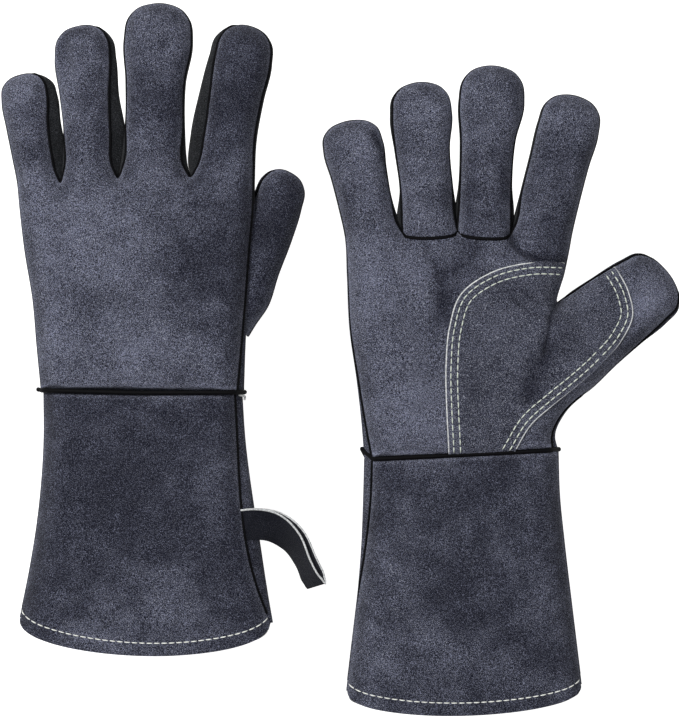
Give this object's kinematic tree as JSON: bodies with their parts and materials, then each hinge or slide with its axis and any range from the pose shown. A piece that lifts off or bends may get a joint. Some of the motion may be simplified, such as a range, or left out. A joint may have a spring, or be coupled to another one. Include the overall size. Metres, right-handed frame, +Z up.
{
  "type": "welding gloves",
  "caption": "Pair of gauntlet welding gloves in charcoal suede: lined hand and flared cuff, piped seams, bending digits, stitched thumb and palm patch, hanging loop.",
  "frame": {"origin": "bottom centre of the pair's bounding box, on the bench that both gloves lie on", "axes": "+Z up from the bench; +Y from the cuffs to the fingertips; the left glove lies palm down on -X, the right glove palm up on +X"},
  "size_m": [0.3672, 0.386, 0.0306],
  "materials": {
    "suede": "charcoal blue split cowhide suede, brushed nap",
    "patch_suede": "the same suede, darker, two rows of cream stitching round its edge",
    "wall_suede": "darker suede on the fingers' side walls",
    "piping": "black leather welting, smooth",
    "fleece": "off-white cotton fleece lining",
    "canvas": "grey canvas cuff lining",
    "strap_leather": "near-black suede strap with pale raw edges"
  },
  "bodies": {
    "right_cuff": {"right_cuff_back": "suede", "right_cuff_palm": "suede", "right_cuff_lining": "canvas", "right_cuff_welt_thumb_side": "piping", "right_cuff_welt_little_side": "piping"},
    "right_hand": {"right_hand_back": "suede", "right_hand_palm": "suede", "right_hand_lining": "fleece", "right_palm_patch": "patch_suede", "right_wrist_welt": "piping"},
    "right_little": {"right_little_sidewall": "wall_suede", "right_little_back": "suede", "right_little_front": "suede", "right_little_lining": "fleece"},
    "right_ring": {"right_ring_sidewall": "wall_suede", "right_ring_back": "suede", "right_ring_front": "suede", "right_ring_lining": "fleece"},
    "right_middle": {"right_middle_sidewall": "wall_suede", "right_middle_back": "suede", "right_middle_front": "suede", "right_middle_lining": "fleece"},
    "right_index": {"right_index_sidewall": "wall_suede", "right_index_back": "suede", "right_index_front": "suede", "right_index_lining": "fleece"},
    "right_thumb": {"right_thumb_back": "suede", "right_thumb_front": "suede", "right_thumb_lining": "fleece"},
    "left_cuff": {"left_cuff_back": "suede", "left_cuff_palm": "suede", "left_cuff_lining": "canvas", "left_cuff_welt_thumb_side": "piping", "left_cuff_welt_little_side": "piping"},
    "left_hand": {"left_hand_back": "suede", "left_hand_palm": "suede", "left_hand_lining": "fleece", "left_palm_patch": "patch_suede", "left_wrist_welt": "piping"},
    "left_little": {"left_little_sidewall": "wall_suede", "left_little_back": "suede", "left_little_front": "suede", "left_little_lining": "fleece"},
    "left_ring": {"left_ring_sidewall": "wall_suede", "left_ring_back": "suede", "left_ring_front": "suede", "left_ring_lining": "fleece"},
    "left_middle": {"left_middle_sidewall": "wall_suede", "left_middle_back": "suede", "left_middle_front": "suede", "left_middle_lining": "fleece"},
    "left_index": {"left_index_sidewall": "wall_suede", "left_index_back": "suede", "left_index_front": "suede", "left_index_lining": "fleece"},
    "left_thumb": {"left_thumb_back": "suede", "left_thumb_front": "suede", "left_thumb_lining": "fleece"},
    "left_loop": {"left_hanging_loop": "strap_leather"}
  },
  "joints": [
    {"name": "right_wrist_bend", "type": "hinge", "parent": "right_cuff", "child": "right_hand", "pos_m": [0.06837, -0.05744, 0.015], "axis": [1, 0, 0], "range_deg": [-30, 30]},
    {"name": "right_little_bend", "type": "hinge", "parent": "right_hand", "child": "right_little", "pos_m": [0.01787, 0.06496, 0.019], "axis": [1, 0, 0], "range_deg": [-10, 60]},
    {"name": "right_ring_bend", "type": "hinge", "parent": "right_hand", "child": "right_ring", "pos_m": [0.04887, 0.06896, 0.019], "axis": [1, 0, 0], "range_deg": [-10, 60]},
    {"name": "right_middle_bend", "type": "hinge", "parent": "right_hand", "child": "right_middle", "pos_m": [0.07987, 0.06896, 0.019], "axis": [1, 0, 0], "range_deg": [-10, 60]},
    {"name": "right_index_bend", "type": "hinge", "parent": "right_hand", "child": "right_index", "pos_m": [0.11037, 0.06346, 0.019], "axis": [1, 0, 0], "range_deg": [-10, 60]},
    {"name": "right_thumb_bend", "type": "hinge", "parent": "right_hand", "child": "right_thumb", "pos_m": [0.11837, -0.00004, 0.019], "axis": [0.6018, -0.7986, 0], "range_deg": [0, 60]},
    {"name": "left_glove_lift", "type": "slide", "parent": "right_cuff", "child": "left_cuff", "axis": [0, 0, 1], "range_m": [0, 0.18]},
    {"name": "left_wrist_bend", "type": "hinge", "parent": "left_cuff", "child": "left_hand", "pos_m": [-0.10728, -0.02544, 0.015], "axis": [-1, 0, 0], "range_deg": [-30, 30]},
    {"name": "left_little_bend", "type": "hinge", "parent": "left_hand", "child": "left_little", "pos_m": [-0.16228, 0.09296, 0.004], "axis": [-1, 0, 0], "range_deg": [-10, 60]},
    {"name": "left_ring_bend", "type": "hinge", "parent": "left_hand", "child": "left_ring", "pos_m": [-0.13578, 0.09696, 0.004], "axis": [-1, 0, 0], "range_deg": [-10, 60]},
    {"name": "left_middle_bend", "type": "hinge", "parent": "left_hand", "child": "left_middle", "pos_m": [-0.10128, 0.09846, 0.004], "axis": [-1, 0, 0], "range_deg": [-10, 60]},
    {"name": "left_index_bend", "type": "hinge", "parent": "left_hand", "child": "left_index", "pos_m": [-0.06478, 0.09496, 0.004], "axis": [-1, 0, 0], "range_deg": [-10, 60]},
    {"name": "left_thumb_bend", "type": "hinge", "parent": "left_hand", "child": "left_thumb", "pos_m": [-0.05498, 0.02796, 0.004], "axis": [-0.9511, 0.309, 0], "range_deg": [0, 60]},
    {"name": "left_loop_flop", "type": "hinge", "parent": "left_cuff", "child": "left_loop", "pos_m": [-0.04237, -0.09087, 0.013], "axis": [0.1045, -0.9945, 0], "range_deg": [-8, 95]}
  ]
}
